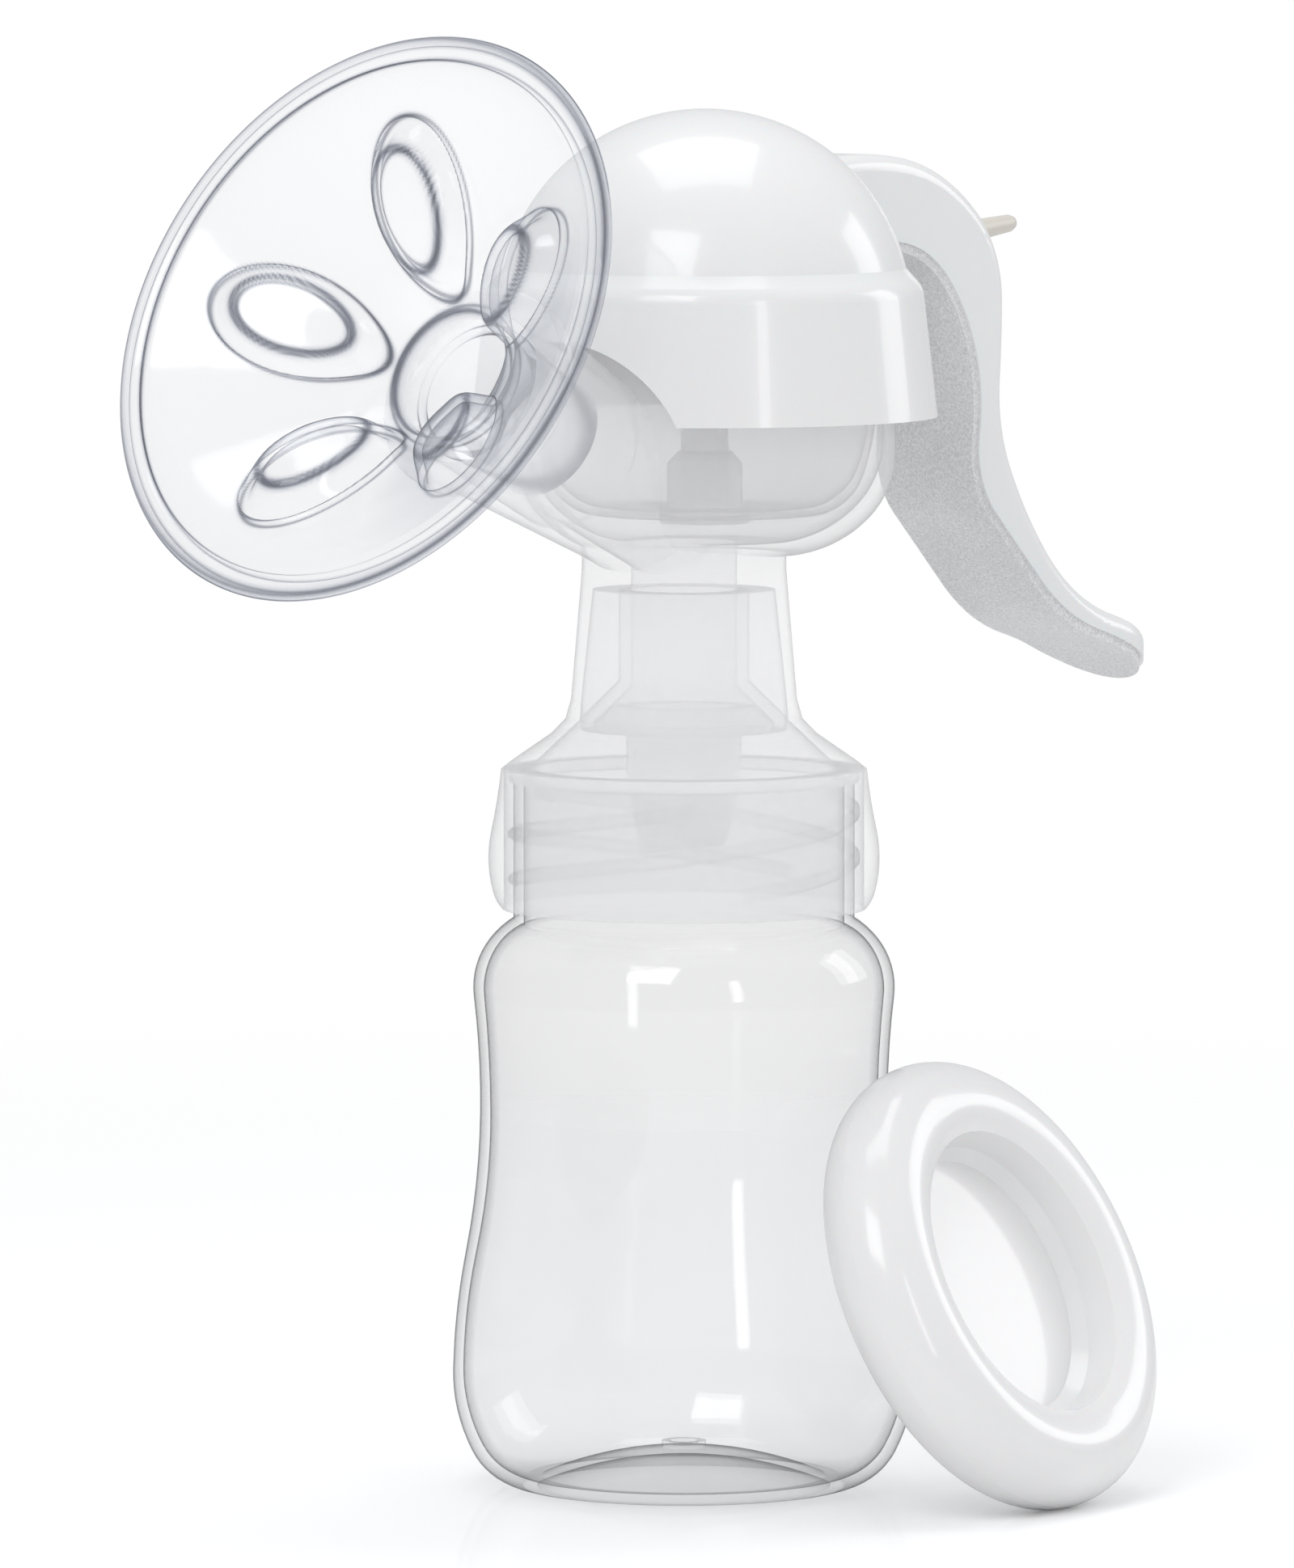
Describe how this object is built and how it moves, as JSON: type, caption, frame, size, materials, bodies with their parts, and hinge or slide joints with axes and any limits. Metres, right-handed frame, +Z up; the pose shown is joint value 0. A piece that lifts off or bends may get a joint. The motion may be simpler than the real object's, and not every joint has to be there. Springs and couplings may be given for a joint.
{
  "type": "breast pump",
  "caption": "Manual breast pump: clear bottle, frosted pump body, domed cap, hand lever, soft petal cushion on a tilted funnel, and a round stand leaning on the bottle.",
  "frame": {"origin": "centre of the bottle's foot ring, on the floor", "axes": "+Z up along the bottle; -X is the side of the funnel and +X the side of the hand lever"},
  "size_m": [0.1917, 0.1091, 0.2119],
  "materials": {
    "clear_bottle": "clear",
    "frosted": "frosted",
    "clear_silicone": "clear",
    "soft_white": "satin",
    "white_gloss": "gloss",
    "grey_matte": "fine texture",
    "cream": "satin"
  },
  "bodies": {
    "bottle": {"bottle": "clear_bottle"},
    "seal": {"bottle_seal": "soft_white"},
    "pump": {"pump_body": "frosted", "milk_tube": "frosted", "duckbill_valve": "soft_white", "diaphragm": "soft_white", "cap": "white_gloss", "pivot_pin": "white_gloss"},
    "cushion": {"cushion": "clear_silicone"},
    "lever": {"handle_shell": "white_gloss", "handle_pad": "grey_matte", "lift_fork": "white_gloss", "handle_peg": "cream"},
    "stem": {"stem": "white_gloss", "stem_head": "white_gloss", "stem_socket": "soft_white"},
    "stand": {"bottle_stand": "white_gloss"}
  },
  "joints": [
    {"name": "thread_lift", "type": "slide", "parent": "bottle", "child": "seal", "axis": [0, 0, 1], "range_m": [0, 0.0121]},
    {"name": "pump_turn", "type": "hinge", "parent": "seal", "child": "pump", "pos_m": [0, 0, 0.104], "axis": [0, 0, 1], "range_deg": [0, 216]},
    {"name": "lever_squeeze", "type": "hinge", "parent": "pump", "child": "lever", "pos_m": [0.024, 0, 0.184], "axis": [0, 1, 0], "range_deg": [0, 22], "stiffness_Nm_per_rad": 0.15, "springref_deg": -11.46},
    {"name": "stem_lift", "type": "slide", "parent": "pump", "child": "stem", "axis": [0, 0, 1], "range_m": [0, 0.0073], "deforming": ["diaphragm"]},
    {"name": "cushion_pull", "type": "slide", "parent": "pump", "child": "cushion", "axis": [-0.9063, 0, 0.4226], "range_m": [0, 0.03]},
    {"name": "stand_away", "type": "slide", "parent": "bottle", "child": "stand", "axis": [0.1266, -0.9011, 0.4147], "range_m": [0, 0.03]}
  ],
  "couplings": [
    {"joint": "thread_lift", "follows": "pump_turn", "m_per_rad": 0.003183},
    {"joint": "stem_lift", "follows": "lever_squeeze", "m_per_rad": 0.018829}
  ]
}
